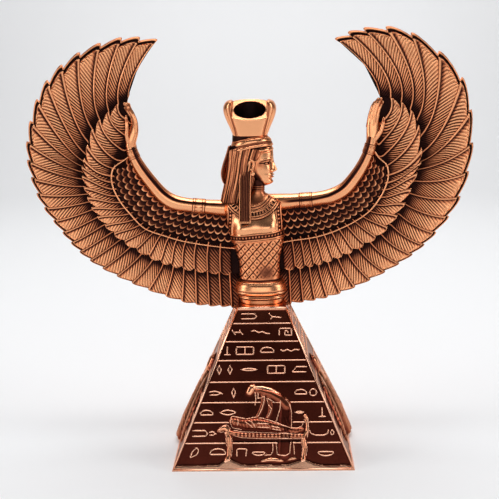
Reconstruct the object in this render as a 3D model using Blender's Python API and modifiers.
"""A winged goddess candle holder: a pyramid plinth and one cast winged figure with a candle cup on its head.

Metres in the file, millimetres in the constants. The origin is the middle of the plinth's underside, +Z is
up and the figure faces -Y.
"""

import math

import bmesh
import bpy
import numpy as np
from mathutils import Matrix

MM = 0.001

# Plinth
BASE_HALF = 62.5
TOP_HALF = 17.1
PLINTH_H = 103.8
SLOPE = (BASE_HALF - TOP_HALF) / PLINTH_H
TILT = math.atan(SLOPE)
EDGE_STRIP = 2.2
FOOT_STRIP = 3.2
TOP_STRIP = 2.0
PANEL_DEPTH = 0.5
RIB_R = 0.75
RIB_END = 0.8
SINK = 0.15
JOINT_GAP = 0.3
CUT_OVER = 5.0
# A drawing on a face is in hundredths: across in those of the face's clear half width at that height, up in
# those of the plinth's height, and a relief's radius in those of the base's half side.
REGISTERS = (89.5, 78.2, 66.6, 53.4, 40.9, 28.9, 16.6)

# Wing sheet: a shallow dish that comes forward towards its rim
DISH_MID = (-6.0, 190.0)
DISH_ROOT_Y = 9.0
DISH_DEPTH = 24.0
DISH_REACH = 160.0
SHEET = 3.2
BACK_FLARE = 1.8

# Feather stations, as (feather, arm edge, end of the scales, end of the second row, wing tip, bow). The places are
# an x, z each, and the bow is how far the outer feather bends aside at its middle.
LEFT_FEATHERS = 29
LEFT_STATIONS = (
    (1, (-88.5, 241), (-90, 246), (-90, 252), (-68, 290), -2.8),
    (3, (-88, 224), (-93, 224), (-104, 242), (-92, 292), -3.0),
    (5, (-86, 211), (-101, 208), (-116, 230), (-121, 283), -3.0),
    (7, (-82, 202), (-104, 199), (-122, 213), (-144, 265), -2.6),
    (10, (-78, 194), (-104, 189), (-125, 200), (-161, 223), -2.0),
    (13, (-73, 187), (-100, 179), (-123, 184), (-157, 186), -1.5),
    (16, (-67, 181), (-93, 169), (-116, 167), (-141, 157), -1.0),
    (19, (-59, 176.5), (-83, 158), (-101, 150), (-123, 136), -0.6),
    (22, (-49, 174.5), (-69, 152), (-78, 135), (-94, 118), -0.4),
    (25, (-38, 173.5), (-53, 147), (-56, 127), (-58, 103), -0.2),
    (29, (-21, 172.5), (-23, 142), (-23, 122), (-22, 98), 0),
    (32, (-6, 172), (-6, 141), (-6, 121), (-6, 97), 0),
)
RIGHT_FEATHERS = 24
RIGHT_STATIONS = (
    (1, (82, 239), (83, 243), (83, 250), (52, 288), 4.5),
    (3, (79.5, 220), (85, 217), (98, 245), (71, 295), 4.8),
    (5, (75.5, 207), (89, 203), (109, 233), (103, 292), 4.5),
    (7, (71, 199), (90, 193), (113, 210), (138, 262), 3.6),
    (9, (67.5, 193), (88, 185), (111, 198), (147, 217), 3.0),
    (11, (63, 187.5), (84, 177), (105, 181), (140, 179), 2.8),
    (13, (57.5, 182.5), (78, 169), (98, 166), (124, 153), 2.5),
    (15, (50.5, 179.5), (69, 162), (86, 151), (108, 137), 1.8),
    (17, (43, 177.5), (58, 156), (70, 141), (89, 124), 1.2),
    (20, (32, 176), (42, 150), (48, 131), (57, 108), 0.6),
    (24, (14, 175), (18, 146), (20, 125), (21, 100), 0),
    (27, (-8, 173), (-8, 141), (-8, 121), (-8, 97), 0),
)
SCALE_ROWS = 4
SPINE_H = 1.3
VANE_H = 0.5
STEP_H = 0.9
TIP_NOTCH = 0.07
ROW_NOTCH = 0.12

# Torso rings: height, middle x, half width, middle y, half depth
TORSO = (
    (PLINTH_H + JOINT_GAP, -0.2, 15.2, 0.0, 13.2),
    (107.4, -0.2, 15.8, 0.0, 13.8),
    (108.2, -0.3, 16.6, 0.0, 14.6),
    (109.4, -0.3, 16.3, 0.0, 14.2),
    (111.4, -0.5, 18.0, 0.0, 15.2),
    (115.2, -0.6, 18.0, 0.0, 15.2),
    (118.6, -0.7, 16.8, 0.0, 14.0),
    (120.2, -0.8, 15.0, 0.0, 12.0),
    (124.5, -1.1, 14.3, 0.0, 10.9),
    (131.0, -1.3, 14.1, 0.0, 10.3),
    (140.0, -1.7, 15.8, 0.0, 10.8),
    (148.5, -2.1, 18.0, 0.0, 12.0),
    (156.0, -3.0, 18.9, 0.0, 12.8),
    (165.0, -4.5, 19.6, 0.0, 11.8),
    (172.0, -5.3, 20.2, 0.0, 10.0),
    (176.8, -5.0, 17.6, 0.0, 7.6),
    (179.6, -3.6, 10.5, 0.0, 6.4),
    (182.5, -2.2, 6.0, 0.0, 5.6),
    (192.0, -1.6, 5.4, 0.0, 5.4),
)
BUST_Z = 159.0
BUST_X = (-12.0, 5.5)
BUST_OUT = 3.6
BUST_R = 6.5
BAND_Z = 151.5
BAND_RISE = 0.1
BAND_HALF = 2.6
COLLAR_MID = (-4.0, 183.5)
COLLAR_RINGS = (16.2, 12.2, 8.4)
COLLAR_STEP = 0.7

# Arms: x, z, radius, with y following the wing sheet
LEFT_ARM = (
    (-12.0, 171.5, 6.6),
    (-25.0, 171.4, 5.9),
    (-37.0, 172.4, 5.1),
    (-50.0, 173.8, 5.0),
    (-61.0, 176.2, 5.3),
    (-69.0, 181.5, 5.0),
    (-76.0, 190.0, 4.6),
    (-83.3, 200.5, 4.4),
    (-87.8, 209.5, 3.8),
    (-89.8, 216.5, 3.4),
)
LEFT_HAND = (
    (-89.8, 216.5, 3.6),
    (-89.4, 224.0, 4.6),
    (-89.8, 232.0, 4.5),
    (-91.6, 240.5, 3.4),
    (-95.0, 247.0, 1.6),
)
RIGHT_ARM = (
    (2.0, 174.5, 6.4),
    (16.0, 175.2, 5.7),
    (27.0, 176.0, 5.0),
    (39.0, 177.0, 4.9),
    (50.0, 179.2, 5.1),
    (59.5, 184.2, 4.9),
    (67.0, 193.0, 4.5),
    (73.0, 203.0, 4.1),
    (76.4, 211.5, 3.8),
    (77.8, 217.5, 3.6),
)
RIGHT_HAND = (
    (77.8, 217.5, 3.8),
    (79.6, 225.0, 5.1),
    (81.0, 232.0, 5.2),
    (82.2, 240.5, 3.7),
    (84.4, 247.4, 1.6),
)
HAND_FLAT = 0.55
ARM_FORWARD = 4.5
ARMBANDS = ((-47.5, 173.6, 9.0), (32.5, 176.5, 9.0))
WRISTBANDS = ((-88.6, 212.0, 7.0), (76.7, 212.5, 7.0))
BAND_OVER = 0.8

# Head, turned to the viewer's right, with its chin at CHIN_Z and the face in three equal thirds
CHIN_Z = 188.4
THIRD = 9.0
HEAD_X = -0.8
# Hair behind the face: height, middle x, half width, half depth
WIG = (
    (172.0, -17.5, 9.0, 9.0),
    (180.0, -16.5, 10.5, 11.5),
    (190.0, -15.0, 11.5, 12.8),
    (200.0, -13.5, 12.8, 13.4),
    (208.0, -12.0, 13.2, 13.2),
    (214.0, -9.6, 13.8, 12.4),
    (219.0, -7.2, 14.2, 11.6),
    (223.0, -6.2, 13.0, 10.4),
    (226.5, -6.2, 10.8, 9.2),
)
WIG_HEIGHTS = (172.0, 181.0, 192.0, 204.0, 213.5, 214.2, 217.2, 218.0, 222.5, 226.5)
STRAND_H = 0.45
HEADBAND = (214.0, 217.5)
HEADBAND_H = 0.9
# The front tress: height, middle x, depth in front of the middle
LAPPET = (
    (206.0, -8.5, 11.5),
    (196.0, -9.8, 12.6),
    (184.0, -10.2, 13.0),
    (174.0, -10.4, 14.2),
    (164.0, -10.6, 16.6),
)
LAPPET_HALF = 4.4
TRESS_H = 0.7
EAR_MID = (-5.8, 203.6)
EAR_RINGS = ((-9.0, 1.9), (-12.6, 2.1), (-13.8, 1.2))

# Candle cup
CUP_X = -6.2
CUP_FOOT_Z = 224.0
CUP_TOP_Z = 247.2
CUP_RADIUS = 14.4
CUP_PROFILE = (
    (CUP_FOOT_Z, 11.2),
    (227.5, 12.2),
    (233.0, 13.2),
    (239.0, 14.3),
    (244.0, CUP_RADIUS),
    (CUP_TOP_Z, 13.8),
)
MOUTH_SLANT = math.radians(25.0)
SOCKET_R = 11.0
SOCKET_FLOOR_Z = 228.0
HORN = (
    (9.2, 223.5, 2.4),
    (10.0, 228.0, 3.2),
    (11.6, 234.0, 4.4),
    (12.8, 240.5, 5.2),
    (12.2, 244.5, 4.6),
    (11.0, 247.2, 3.0),
)
HORN_DEEP = 1.7


def clear_scene():
    for obj in list(bpy.data.objects):
        bpy.data.objects.remove(obj)


def material(name, colour, roughness):
    found = bpy.data.materials.new(name)
    found.use_nodes = True
    shader = found.node_tree.nodes["Principled BSDF"]
    shader.inputs["Base Color"].default_value = (*colour, 1.0)
    shader.inputs["Metallic"].default_value = 1.0
    shader.inputs["Roughness"].default_value = roughness
    return found


def link(obj):
    bpy.context.scene.collection.objects.link(obj)
    return obj


def from_bmesh(name, bm):
    """An object from bm, welded, with its faces pointing out."""
    bmesh.ops.remove_doubles(bm, verts=bm.verts, dist=1e-6)
    bmesh.ops.recalc_face_normals(bm, faces=bm.faces)
    if bm.calc_volume(signed=True) < 0:
        bmesh.ops.reverse_faces(bm, faces=bm.faces)
    mesh = bpy.data.meshes.new(name)
    bm.to_mesh(mesh)
    bm.free()
    return link(bpy.data.objects.new(name, mesh))


def from_grid(name, verts, faces):
    """A hand-made shell, for lofts between unlike sections."""
    mesh = bpy.data.meshes.new(name)
    points = [tuple(MM * c for c in v) for v in verts]
    mesh.from_pydata(points, [], [tuple(int(i) for i in f) for f in faces])
    bm = bmesh.new()
    bm.from_mesh(mesh)
    bpy.data.meshes.remove(mesh)
    return from_bmesh(name, bm)


def frustum(name, sides, low_r, high_r, low, high, middle=(0.0, 0.0), turned=0.0):
    """A cone, cylinder or square pyramid between two heights."""
    bm = bmesh.new()
    place = Matrix.Translation((MM * middle[0], MM * middle[1], MM * 0.5 * (low + high)))
    bmesh.ops.create_cone(
        bm,
        cap_ends=True,
        segments=sides,
        radius1=MM * low_r,
        radius2=MM * high_r,
        depth=MM * (high - low),
        matrix=place @ Matrix.Rotation(turned, 4, "Z"),
    )
    return from_bmesh(name, bm)


def evaluated_mesh(obj):
    """The object's finished shape as a plain mesh object, in the object's place."""
    graph = bpy.context.evaluated_depsgraph_get()
    bm = bmesh.new()
    bm.from_mesh(bpy.data.meshes.new_from_object(obj.evaluated_get(graph)))
    bmesh.ops.transform(bm, matrix=obj.matrix_world, verts=bm.verts)
    name = obj.name
    bpy.data.objects.remove(obj)
    return from_bmesh(name, bm)


def rod(name, points, round_steps, place=None, closed=False):
    """A curve with a round bevel along (x, y, z, radius) points, as a mesh."""
    curve = bpy.data.curves.new(name, "CURVE")
    curve.dimensions = "3D"
    curve.bevel_depth = MM
    curve.bevel_resolution = round_steps
    curve.use_fill_caps = not closed
    spline = curve.splines.new("POLY")
    spline.points.add(len(points) - 1)
    spline.use_cyclic_u = closed
    for point, (x, y, z, radius) in zip(spline.points, points):
        point.co = (MM * x, MM * y, MM * z, 1.0)
        point.radius = radius
    obj = link(bpy.data.objects.new(name, curve))
    obj.matrix_world = place or Matrix()
    bpy.context.view_layer.update()
    return evaluated_mesh(obj)


def boolean(target, other, operation):
    """Applies one Boolean to target and removes the other object.

    EXACT loses whole sheets where a bent relief folds onto itself, so every join here is MANIFOLD.
    """
    modifier = target.modifiers.new("join", "BOOLEAN")
    modifier.operation = operation
    modifier.object = other
    modifier.solver = "MANIFOLD"
    graph = bpy.context.evaluated_depsgraph_get()
    mesh = bpy.data.meshes.new_from_object(target.evaluated_get(graph))
    target.modifiers.clear()
    target.data = mesh
    bpy.data.objects.remove(other)
    return target


def grid_faces(rows, cols, wrap):
    faces = []
    last = cols if wrap else cols - 1
    for r in range(rows - 1):
        for c in range(last):
            d = (c + 1) % cols
            faces.append((r * cols + c, r * cols + d, (r + 1) * cols + d, (r + 1) * cols + c))
    return faces


def loft(name, rings):
    """A closed solid through rings of equal length, each end closed to a middle point."""
    rings = np.asarray(rings, float)
    rows, cols = rings.shape[:2]
    verts = list(rings.reshape(-1, 3))
    faces = grid_faces(rows, cols, True)
    for row, flip in ((0, False), (rows - 1, True)):
        middle = len(verts)
        verts.append(rings[row].mean(axis=0))
        for c in range(cols):
            pair = (row * cols + c, row * cols + (c + 1) % cols)
            faces.append((middle, *(pair if flip else pair[::-1])))
    return from_grid(name, verts, faces)


def smooth(knots, at):
    """A smooth curve through knots, which are rows of (parameter, values...), sampled at some parameters."""
    knots = np.asarray(knots, float)
    t, p = knots[:, 0], knots[:, 1:]
    slope = np.gradient(p, t, axis=0)
    at = np.clip(np.atleast_1d(at), t[0], t[-1])
    k = np.clip(np.searchsorted(t, at, side="right") - 1, 0, len(t) - 2)
    h = (t[k + 1] - t[k])[:, None]
    s = ((at - t[k])[:, None]) / h
    a = (2 * s**3 - 3 * s**2 + 1) * p[k]
    b = (s**3 - 2 * s**2 + s) * h * slope[k]
    c = (-2 * s**3 + 3 * s**2) * p[k + 1]
    d = (s**3 - s**2) * h * slope[k + 1]
    return a + b + c + d


def dish_y(x, z):
    away = (x - DISH_MID[0]) ** 2 + (z - DISH_MID[1]) ** 2
    return DISH_ROOT_Y - DISH_DEPTH * away / DISH_REACH**2


def limb(name, path, round_steps, flat=1.0, steps=2):
    """A round limb along (x, z, radius) points, in front of the wing sheet and pressed flat in depth."""
    at = np.linspace(0, len(path) - 1, (len(path) - 1) * steps + 1)
    x, z, r = smooth([(i, *p) for i, p in enumerate(path)], at).T
    y = dish_y(x, z) - ARM_FORWARD
    middle = y.mean()
    place = Matrix.Translation((0.0, MM * middle, 0.0)) @ Matrix.Diagonal((1.0, flat, 1.0, 1.0))
    return rod(name, list(zip(x, (y - middle) / flat, z, r)), round_steps, place)


def wing_lines():
    """The grid's lines from the arm to the tips, as (band, part of the band, raised?)."""
    lines = [(0, 0.0, 0.0)]
    for row in range(1, SCALE_ROWS + 1):
        edge = row / (SCALE_ROWS + 0.6)
        lines.append((0, edge - 0.02, 1.0))
        lines.append((0, edge + 0.03, 0.0))
    lines += [(0, 0.97, 1.2), (1, 0.05, 0.0), (1, 0.95, 1.5), (2, 0.02, 0.0), (2, 0.45, 0.4), (2, 1.0, 0.5)]
    return lines


def wing_point(stations, feather, band, part):
    curve = smooth([(s[0], *s[1], *s[2], *s[3], *s[4], s[5]) for s in stations], feather)[0]
    ends = curve[:8].reshape(4, 2)
    x, z = smooth([(k, *ends[k]) for k in range(4)], band + part)[0]
    if band == 2 and part > 0:
        chord = (ends[3] - ends[2]) / np.linalg.norm(ends[3] - ends[2])
        bend = curve[8] * 4 * part * (1 - part)
        return x + bend * chord[1], z - bend * chord[0]
    return x, z


def wing(name, stations, feathers):
    """One wing as a closed sheet: raised spines and stepped rows in front, a plain back."""
    columns = []
    for feather in range(1, feathers):
        columns += [(feather, 0.0, 1.0), (feather, 0.82, 0.0)]
    last = stations[-1][0]
    columns += [(feathers, 0.0, 1.0), (feathers, 0.8, 0.0), (last, 0.0, 0.0)]
    lines = wing_lines()
    front = np.zeros((len(lines), len(columns), 3))
    for c, (feather, across, spine) in enumerate(columns):
        for r, (band, part, raised) in enumerate(lines):
            if band == 0 and 0 < part < 0.95:
                wave = abs(math.sin(math.pi * (feather + across + 0.5 * (r // 2))))
                part = part + 0.05 * (wave - 0.6)
            elif part > 0.9 and band == 1:
                part = part - ROW_NOTCH * across
            elif band == 2 and part < 0.1:
                part = part - ROW_NOTCH * across
            elif band == 2 and part > 0.9:
                part = part - TIP_NOTCH * across ** 1.5
            x, z = wing_point(stations, feather + across, band, part)
            height = STEP_H * raised if band < 2 else VANE_H * raised
            if band > 0:
                height += SPINE_H * spine * (1.0 if part < 0.98 else 0.6) + VANE_H * (1 - across)
            front[r, c] = (x, dish_y(x, z) - height, z)
    back = front[[0, 5, len(lines) - 4, len(lines) - 1]].copy()
    heart = np.array([stations[6][2][0], stations[6][2][1]], float)
    for row in (0, 3):
        away = back[row][:, [0, 2]] - heart
        away /= np.linalg.norm(away, axis=1)[:, None]
        back[row][:, [0, 2]] += BACK_FLARE * away * (1.0 if row == 3 else 0.3)
    back[..., 1] = dish_y(back[..., 0], back[..., 2]) + SHEET
    rows, cols = len(lines), len(columns)
    loop = np.concatenate([front, back[::-1]])
    verts = list(loop.reshape(-1, 3))
    total = rows + 4
    faces = []
    for r in range(total):
        s = (r + 1) % total
        for c in range(cols - 1):
            faces.append((r * cols + c, r * cols + c + 1, s * cols + c + 1, s * cols + c))
    for end in (0, cols - 1):
        faces.append([r * cols + end for r in (range(total) if end else reversed(range(total)))])
    return from_grid(name, verts, faces)


def torso():
    """The body from the belt up to the neck, with the bust, the collar's steps and the band below it."""
    heights = np.concatenate([
        [r[0] for r in TORSO[:9]],
        [131.0, 141.0, 149.4, 150.4, 155.0, 156.0, 159.0, 163.0, 167.0],
        [170.0, 172.5, 175.0, 176.8, 179.0, 182.5, 192.0],
    ])
    turn = np.linspace(0, 2 * math.pi, 24, endpoint=False)
    rings = []
    for z in heights:
        mid_x, half_x, mid_y, half_y = smooth(TORSO, z)[0]
        ring = []
        for a in turn:
            x = mid_x + half_x * math.sin(a)
            y = mid_y - half_y * math.copysign(abs(math.cos(a)) ** 0.8, math.cos(a))
            level = z + BAND_RISE * (x - mid_x) * (1 if 140 < z < 172 else 0)
            if y < mid_y:
                for bx in BUST_X:
                    away = ((x - bx) ** 2 + (level - BUST_Z) ** 2) / BUST_R**2
                    y -= BUST_OUT * math.exp(-away)
                if abs(z - BAND_Z - 1.2) < BAND_HALF:
                    y -= 0.8
                reach = math.hypot(x - COLLAR_MID[0], level - COLLAR_MID[1])
                y -= COLLAR_STEP * sum(reach < r for r in COLLAR_RINGS) * (z < 182)
            ring.append((x, y, level))
        rings.append(ring)
    return loft("torso", rings)


def face_profile(z):
    """Front x of the midline, half width, back x of the head at height z."""
    t = (z - CHIN_Z) / THIRD
    knots = (
        (0.0, 6.0, 2.6, 1.0),
        (0.12, 8.2, 4.2, -1.0),
        (0.3, 9.8, 5.4, -3.0),
        (0.6, 10.4, 6.9, -6.0),
        (1.0, 10.6, 8.2, -11.0),
        (1.5, 10.4, 9.0, -14.0),
        (2.0, 10.8, 9.2, -16.0),
        (2.5, 10.6, 9.2, -17.0),
        (3.2, 9.2, 8.8, -17.0),
        (3.9, 6.0, 7.5, -14.0),
    )
    return smooth(knots, t)[0]


def face_relief(y, z):
    """How far the nose, the lips, the chin and the brows stand out, and the eye sockets go in."""
    t = (z - CHIN_Z) / THIRD
    nose = 3.6 * math.exp(-((t - 1.15) / 0.2) ** 2) + 1.6 * math.exp(-((t - 1.5) / 0.3) ** 2)
    out = nose * math.exp(-((y / (2.2 if t < 1.25 else 1.4)) ** 2))
    out += 1.1 * math.exp(-(((t - 0.77) / 0.09) ** 2) - (y / 2.8) ** 2)
    out += 1.0 * math.exp(-(((t - 0.56) / 0.09) ** 2) - (y / 2.4) ** 2)
    out += 0.8 * math.exp(-(((t - 0.22) / 0.14) ** 2) - (y / 3.0) ** 2)
    for side in (-1, 1):
        out -= 1.3 * math.exp(-(((t - 1.72) / 0.2) ** 2) - ((y - side * 4.2) / 2.6) ** 2)
        out += 0.7 * math.exp(-(((t - 1.76) / 0.1) ** 2) - ((y - side * 4.4) / 1.9) ** 2)
    return out


def head():
    heights = CHIN_Z + THIRD * np.array(
        [0, 0.1, 0.22, 0.4, 0.56, 0.66, 0.78, 0.94, 1.12, 1.35, 1.55, 1.74, 1.95, 2.4, 3.2, 3.8]
    )
    turn = np.radians([0, 9, 18, 30, 45, 65, 90, 125, 165, 195, 235, 270, 295, 315, 330, 342, 351])
    rings = []
    for z in heights:
        front, half, back = face_profile(z)
        middle = 0.45 * front + 0.55 * back
        ring = []
        for a in turn:
            reach = (front if math.cos(a) > 0 else back) - middle
            x = middle + abs(reach) * math.copysign(abs(math.cos(a)) ** 0.9, math.cos(a))
            y = half * math.sin(a)
            if math.cos(a) > 0:
                x += face_relief(y, z)
            ring.append((HEAD_X + x, y, z))
        rings.append(ring)
    return loft("head", rings)


def wig():
    """Hair behind the face down to the shoulders, its strands worked as ridges."""
    count = 32
    rings = []
    for z in WIG_HEIGHTS:
        mid, half_x, half_y = smooth(WIG, z)[0]
        band = HEADBAND_H if HEADBAND[0] <= z <= HEADBAND[1] else 0.0
        ring = []
        for i in range(count):
            a = 2 * math.pi * i / count
            ridge = STRAND_H * (i % 2) if z < HEADBAND[0] else band
            lean = 0.1 * (half_x * math.cos(a)) if z > HEADBAND[0] - 1.0 and z < CUP_FOOT_Z else 0.0
            ring.append((mid + (half_x + ridge) * math.cos(a), (half_y + ridge) * math.sin(a), z + lean))
        rings.append(ring)
    return loft("wig", rings)


def lappet(name, side):
    """The long front tress, flat-hemmed, five ridges wide."""
    rings = []
    for z, x, depth in LAPPET:
        ring = []
        for i in range(11):
            out = TRESS_H if i % 2 else 0.0
            ring.append((x + LAPPET_HALF * (0.2 * i - 1.0), side * (depth + out), z))
        back = side * 0.5 * depth
        ring += [(x + LAPPET_HALF, back, z), (x - LAPPET_HALF, back, z)]
        rings.append(ring)
    return loft(name, rings)


def ear():
    turn = np.linspace(0, 2 * math.pi, 10, endpoint=False)
    rings = []
    for y, r in EAR_RINGS:
        ring = [(EAR_MID[0] + 0.8 * r * math.cos(a), y, EAR_MID[1] + 1.6 * r * math.sin(a)) for a in turn]
        rings.append(ring)
    return loft("ear", rings)


def cup_body():
    """The candle cup's outside, a profile turned round its axis, with its mouth cut to slant forward."""
    mesh = bpy.data.meshes.new("cup")
    profile = [(0.0, CUP_FOOT_Z)] + [(r, z) for z, r in CUP_PROFILE] + [(0.0, CUP_TOP_Z)]
    points = [(MM * r, 0.0, MM * z) for r, z in profile[::-1]]
    mesh.from_pydata(points, [(i, i + 1) for i in range(len(points) - 1)], [])
    obj = link(bpy.data.objects.new("cup", mesh))
    turned = obj.modifiers.new("turned", "SCREW")
    turned.steps = turned.render_steps = 24
    turned.use_merge_vertices = True
    turned.merge_threshold = 0.00005
    obj.location.x = MM * CUP_X
    bpy.context.view_layer.update()
    body = evaluated_mesh(obj)
    bm = bmesh.new()
    bmesh.ops.create_cube(bm, size=MM * 60.0)
    place = Matrix.Translation((MM * CUP_X, MM * CUP_RADIUS, MM * (CUP_TOP_Z + 0.2)))
    place = place @ Matrix.Rotation(MOUTH_SLANT, 4, "X") @ Matrix.Translation((0.0, MM * -20.0, MM * 30.0))
    bmesh.ops.transform(bm, matrix=place, verts=bm.verts)
    return boolean(body, from_bmesh("mouth", bm), "DIFFERENCE")


def horn(side):
    """One side horn of the cup, swelling outward from the foot and rounded over at the top."""
    points = [(CUP_X + side * out, 0.0, z, r) for out, z, r in HORN]
    place = Matrix.Diagonal((1.0, HORN_DEEP, 1.0, 1.0))
    return rod("horn", points, 2, place)


def cuff(path, x, z, length):
    """A short band round a limb where the limb passes nearest to x, z."""
    run = smooth([(i, *p) for i, p in enumerate(path)], np.linspace(0, len(path) - 1, 200))
    near = int(np.argmin((run[:, 0] - x) ** 2 + (run[:, 1] - z) ** 2))
    step = np.linalg.norm(np.diff(run[:, :2], axis=0), axis=1).mean()
    half = int(0.5 * length / step)
    picks = run[[max(near - half, 0), near, min(near + half, 199)]]
    picks[:, 2] += BAND_OVER
    return limb("cuff", [tuple(p) for p in picks], 3, steps=1)


def pyramid(name, grow):
    """The plinth's square pyramid, or the space it needs with a gap of grow all round."""
    side = math.sqrt(2.0)
    low_r = side * (BASE_HALF + grow)
    high_r = side * (TOP_HALF + grow)
    return frustum(name, 4, low_r, high_r, -grow, PLINTH_H + grow, turned=math.pi / 4)


def face_frame(quarter, press=1.0):
    """The frame of one sloping face: x across it, y up the slope, z out, its origin at the face's foot."""
    face = Matrix.Rotation(quarter * math.pi / 2, 4, "Z") @ Matrix.Translation((0.0, -MM * BASE_HALF, 0.0))
    face = face @ Matrix.Rotation(math.pi / 2 - TILT, 4, "X")
    return face @ Matrix.Translation((0.0, 0.0, -MM * PANEL_DEPTH)) @ Matrix.Diagonal((1.0, 1.0, press, 1.0))


def up_slope(height):
    return height / math.cos(TILT)


def clear_half(height):
    return BASE_HALF - SLOPE * height - EDGE_STRIP


def on_face(across, up):
    """The millimetres across a face and up it of a point given in hundredths."""
    height = 0.01 * up * PLINTH_H
    return 0.01 * across * clear_half(height), height


def panel_cutter(quarter):
    """A tapered box that sinks one face between its edge strips."""
    bm = bmesh.new()
    bmesh.ops.create_cube(bm, size=2.0)
    low, high = FOOT_STRIP, PLINTH_H - TOP_STRIP
    for vert in bm.verts:
        height = low if vert.co.y < 0 else high
        half = clear_half(height)
        vert.co = (MM * half * vert.co.x, MM * up_slope(height), MM * (CUT_OVER if vert.co.z > 0 else 0.0))
    bmesh.ops.transform(bm, matrix=face_frame(quarter), verts=bm.verts)
    return from_bmesh("panel", bm)


def rib(quarter, points, closed=False, radius=None):
    """A raised stroke along (across, height) points of a face, half sunk in it."""
    run = [(a, up_slope(h), -SINK, radius or RIB_R) for a, h in points]
    return rod("rib", run, 0, face_frame(quarter), closed)


def relief(quarter, points, round_steps=1, press=0.7):
    """A rounded relief mass along (across, up, radius) points in hundredths, half sunk in a face."""
    placed = [(*on_face(across, up), 0.01 * BASE_HALF * radius) for across, up, radius in points]
    run = [(a, up_slope(h), -SINK, r) for a, h, r in placed]
    return rod("relief", run, round_steps, face_frame(quarter, press))


def arc(start, stop, count, wide=1.0, tall=1.0):
    turn = np.radians(np.linspace(start, stop, count))
    return [(wide * math.cos(a), tall * math.sin(a)) for a in turn]


# The marks fill the rows with strokes in a rhythm. None of them is a sign of a script.
MARKS = {
    "bracket": [([(-1, 0.8), (0.7, 0.8), (1, 0), (0.7, -0.8), (-1, -0.8)], False)],
    "fork": [([(-0.9, 1), (-0.3, -0.2), (1, -0.5)], False), ([(-0.6, -1), (-0.3, -0.2)], False)],
    "ladder": [([(-1, 0.9), (-0.4, -0.9)], False), ([(0.3, 0.9), (0.9, -0.9)], False)],
    "wave": [([(-1, 0.3), (-0.6, 0.6), (-0.2, -0.2), (0.2, 0.2), (0.5, -0.4), (1, -0.6)], False)],
    "maze": [([(-1, -1), (-1, 1), (1, 1), (1, -1), (0, -1), (0, 0.2)], False)],
    "post": [([(0, 1), (0, -0.9)], False), ([(-0.9, -0.9), (0.9, -0.9)], False)],
    "twin": [([(-1, -1), (1, -1), (1, 1), (-1, 1)], True), ([(0, -0.7), (0, 0.7)], False)],
    "dome": [(arc(0, 180, 6) + [(-1, -0.6), (1, -0.6)], True)],
    "saw": [([(-1, 0.4), (-0.7, -0.4), (-0.3, 0.4), (0.1, -0.4), (0.5, 0.3), (1, 0.1)], False)],
    "leaf": [([(0, -1), (0.5, 0.1), (0, 1), (-0.5, 0.1)], True)],
    "lens": [([(-1, 0.1), (0, -0.3), (1, 0.1), (0, 0.4)], True)],
    "wedge": [([(1, 0.9), (-0.4, 0.9), (-1, -0.9), (0.9, -0.9)], False)],
    "loop": [
        ([(-0.9, 0.3), (0, 0.5), (0.8, 0), (1, -0.3)], False),
        ([(-0.8, -0.5), (0.2, -0.5), (0.8, 0)], False),
    ],
    "ring": [(arc(0, 315, 8), True)],
    "bowl": [(arc(180, 360, 6), True)],
    "boat": [([(-1, 0.8), (-0.8, -0.3), (-0.3, -0.8), (0.5, -0.8), (0.9, -0.3), (1, 0.8)], False)],
    "arch": [([(-0.9, -1), (-0.9, 0.8), (0.9, 0.8), (0.7, -1)], False)],
    "hook": [([(-0.9, -1), (0.5, -0.4), (0.9, 0.5), (0.4, 1), (-0.5, 0.2)], True)],
}
# Rows of marks from the top, in hundredths, as (up, ((mark, across, half width, half height), ...))
FRONT_ROWS = (
    (94.0, (("bracket", -51.1, 30.7, 2.1), ("fork", 51.1, 26.1, 2.1))),
    (84.1, (("ladder", -76.9, 18.1, 1.9), ("wave", -4.5, 29.8, 1.9), ("maze", 74.6, 19.4, 2.3))),
    (72.6, (
        ("post", -89.0, 9.5, 2.9),
        ("twin", -43.9, 22.0, 2.5),
        ("dome", 12.8, 16.8, 2.1),
        ("saw", 71.5, 24.2, 1.7),
    )),
    (60.9, (
        ("leaf", -92.0, 9.2, 2.9),
        ("leaf", -68.9, 9.2, 2.9),
        ("lens", -27.6, 17.1, 1.9),
        ("twin", 29.7, 18.4, 2.5),
        ("wedge", 79.0, 15.9, 1.9),
    )),
    (46.8, (
        ("loop", -83.5, 12.8, 2.5),
        ("leaf", -51.2, 6.7, 3.3),
        ("dome", 67.9, 10.2, 1.9),
        ("ring", 89.9, 6.1, 2.3),
    )),
    (34.7, (
        ("dome", -87.0, 9.4, 1.9),
        ("lens", -53.9, 12.6, 4.2),
        ("wedge", 57.2, 7.2, 1.5),
        ("post", 92.0, 6.3, 3.1),
    )),
    (22.5, (
        ("bracket", -86.5, 10.4, 2.3),
        ("loop", -66.9, 5.6, 2.3),
        ("boat", 76.9, 13.2, 2.1),
        ("ring", 95.0, 2.2, 1.5),
    )),
    (11.2, (
        ("hook", -85.1, 5.8, 3.3),
        ("dome", -56.1, 9.4, 2.3),
        ("arch", -26.3, 6.9, 2.7),
        ("bowl", -5.4, 8.0, 2.1),
        ("bowl", 77.9, 9.8, 2.7),
    )),
)
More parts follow.
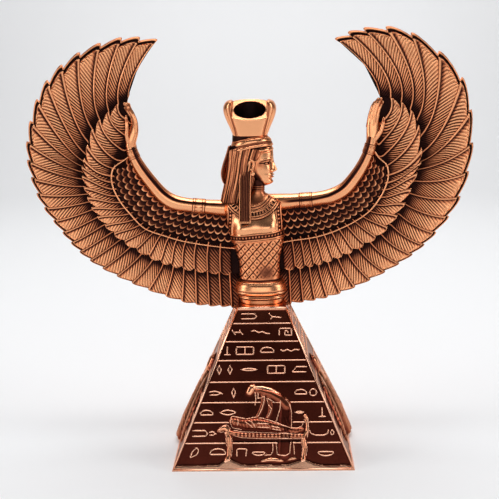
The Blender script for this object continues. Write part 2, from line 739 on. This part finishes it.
# The front scene, in hundredths: how far each mass is pressed into the face, then (across, up, radius)
MOURNER = (
    (0.7, ((-24.0, 45.8, 1.3), (-23.2, 47.2, 3.8), (-19.9, 49.6, 4.2), (-16.1, 50.7, 2.2))),
    (0.7, ((-20.6, 47.2, 2.2), (-5.3, 49.6, 3.8), (15.6, 48.2, 5.4), (32.6, 44.9, 6.1), (40.1, 39.5, 5.8))),
    (0.45, (
        (29.9, 44.3, 4.8),
        (35.5, 36.6, 7.0),
        (33.3, 27.0, 6.7),
        (30.3, 16.4, 6.4),
        (27.3, 7.7, 7.0),
        (27.0, 6.6, 5.8),
    )),
    (0.7, ((0.0, 48.2, 2.4), (1.2, 42.4, 2.4), (-3.4, 36.6, 2.2), (-8.8, 32.3, 1.9))),
    (0.7, ((12.7, 46.2, 2.4), (15.5, 40.5, 2.6), (10.1, 34.7, 2.2), (3.2, 30.8, 1.9))),
)
WRAPPED_FIGURE = (
    (0.7, (
        (-46.8, 27.0, 2.2),
        (-42.2, 28.3, 4.5),
        (-34.7, 27.9, 4.2),
        (-23.2, 28.3, 5.8),
        (0.0, 28.3, 6.4),
        (20.7, 26.6, 5.1),
        (38.6, 24.5, 3.5),
        (50.8, 24.5, 3.8),
        (57.2, 25.0, 1.6),
    )),
)
LION_BED = (
    (0.7, (
        (-53.4, 21.4, 2.9),
        (-27.4, 20.2, 3.5),
        (0.0, 19.8, 3.5),
        (27.3, 19.8, 3.5),
        (55.1, 20.8, 2.9),
    )),
    (0.7, (
        (-63.8, 24.1, 1.6),
        (-61.5, 26.0, 3.8),
        (-56.9, 26.0, 3.8),
        (-52.2, 23.1, 3.2),
        (-48.9, 19.3, 2.9),
    )),
    (0.7, ((55.3, 21.2, 2.4), (61.3, 25.0, 1.9), (63.3, 29.9, 1.9), (66.9, 32.8, 1.6))),
    (0.7, ((-47.9, 20.2, 3.0), (-44.3, 13.5, 2.7), (-43.0, 6.7, 2.6), (-45.3, 3.9, 3.5))),
    (0.7, ((53.8, 20.2, 2.7), (52.4, 13.5, 2.2), (47.2, 6.7, 2.2), (48.7, 3.9, 3.2))),
    (0.7, ((3.5, 6.7, 1.4), (14.0, 7.3, 2.2), (38.6, 7.1, 2.2))),
)
KNEELING_FIGURE = (
    (0.8, ((-6.1, 60.7, 2.4), (-5.8, 56.8, 7.0), (-2.8, 53.0, 7.0), (0.0, 49.1, 4.8))),
    (0.42, (
        (0.0, 51.1, 4.8),
        (0.0, 42.4, 12.8),
        (0.0, 28.9, 16.8),
        (3.8, 16.4, 19.2),
        (7.0, 7.7, 17.6),
        (6.9, 5.3, 12.8),
    )),
    (0.5, ((18.2, 48.2, 3.2), (35.8, 40.5, 8.0), (42.4, 28.9, 9.6), (43.9, 17.3, 8.0), (44.0, 7.7, 3.5))),
    (0.5, (
        (-18.2, 48.2, 3.2),
        (-35.8, 40.5, 8.0),
        (-42.4, 28.9, 9.6),
        (-43.9, 17.3, 8.0),
        (-44.0, 7.7, 3.5),
    )),
)


def face_ribs(quarter):
    """The register lines and marks of one face, each as a solid of its own."""
    runs = []
    for up in REGISTERS:
        height = 0.01 * up * PLINTH_H
        half = clear_half(height) - RIB_END
        runs.append(([(-half, height), (half, height)], False))
    if quarter == 0:
        for up, marks in FRONT_ROWS:
            for mark, across, half_w, half_h in marks:
                for points, closed in MARKS[mark]:
                    middle = on_face(across, up)
                    wide = on_face(half_w, up)[0]
                    tall = 0.01 * half_h * PLINTH_H * math.cos(TILT)
                    runs.append(([(middle[0] + wide * a, middle[1] + tall * b) for a, b in points], closed))
    return [rib(quarter, points, closed) for points, closed in runs]


def front_scene():
    """A mourner bending over a wrapped figure that lies on a lion-headed bed."""
    return [relief(0, points, press=press) for press, points in MOURNER + WRAPPED_FIGURE + LION_BED]


def side_scene(quarter):
    """A kneeling figure wrapped in its folded wings, in high relief, on a side face."""
    found = []
    for press, points in KNEELING_FIGURE:
        found.append(relief(quarter, points, round_steps=3 if press < 0.45 else 1, press=press))
    return found


def plinth():
    body = pyramid("pyramid_plinth", 0.0)
    for quarter in range(4):
        boolean(body, panel_cutter(quarter), "DIFFERENCE")
    for quarter in range(4):
        for stroke in face_ribs(quarter):
            boolean(body, stroke, "UNION")
    for mass in front_scene() + side_scene(1) + side_scene(3):
        boolean(body, mass, "UNION")
    body.data.materials.append(material("dark_red_copper", (0.28, 0.07, 0.035), 0.3))
    return body


def winged_figure():
    body = torso()
    parts = [
        wing("left_wing", LEFT_STATIONS, LEFT_FEATHERS),
        wing("right_wing", RIGHT_STATIONS, RIGHT_FEATHERS),
        limb("left_arm", LEFT_ARM, 3, steps=1),
        limb("left_hand", LEFT_HAND, 2, flat=HAND_FLAT),
        limb("right_arm", RIGHT_ARM, 3, steps=1),
        limb("right_hand", RIGHT_HAND, 2, flat=HAND_FLAT),
        head(),
        wig(),
        lappet("front_lappet", -1),
        ear(),
        cup_body(),
        horn(-1),
        horn(1),
    ]
    for path, armband, wristband in zip((LEFT_ARM, RIGHT_ARM), ARMBANDS, WRISTBANDS):
        parts += [cuff(path, *armband), cuff(path, *wristband)]
    for piece in parts:
        boolean(body, piece, "UNION")
    bore = frustum("bore", 24, SOCKET_R, SOCKET_R, SOCKET_FLOOR_Z, CUP_TOP_Z + CUT_OVER, (CUP_X, 0.0))
    boolean(body, bore, "DIFFERENCE")
    boolean(body, pyramid("plinth_space", JOINT_GAP), "DIFFERENCE")
    body.name = "winged_figure"
    body.data.materials.append(material("antiqued_copper", (0.72, 0.33, 0.17), 0.32))
    return body


def gather(nodes):
    """One collection and one empty at the origin for the whole object."""
    collection = bpy.data.collections.new("winged_candle_holder")
    bpy.context.scene.collection.children.link(collection)
    root = bpy.data.objects.new("base_centre", None)
    collection.objects.link(root)
    for node in nodes:
        bpy.context.scene.collection.objects.unlink(node)
        collection.objects.link(node)
        node.parent = root
        node.data.shade_smooth()
        node.data.set_sharp_from_angle(angle=math.radians(35.0))


clear_scene()
gather([plinth(), winged_figure()])
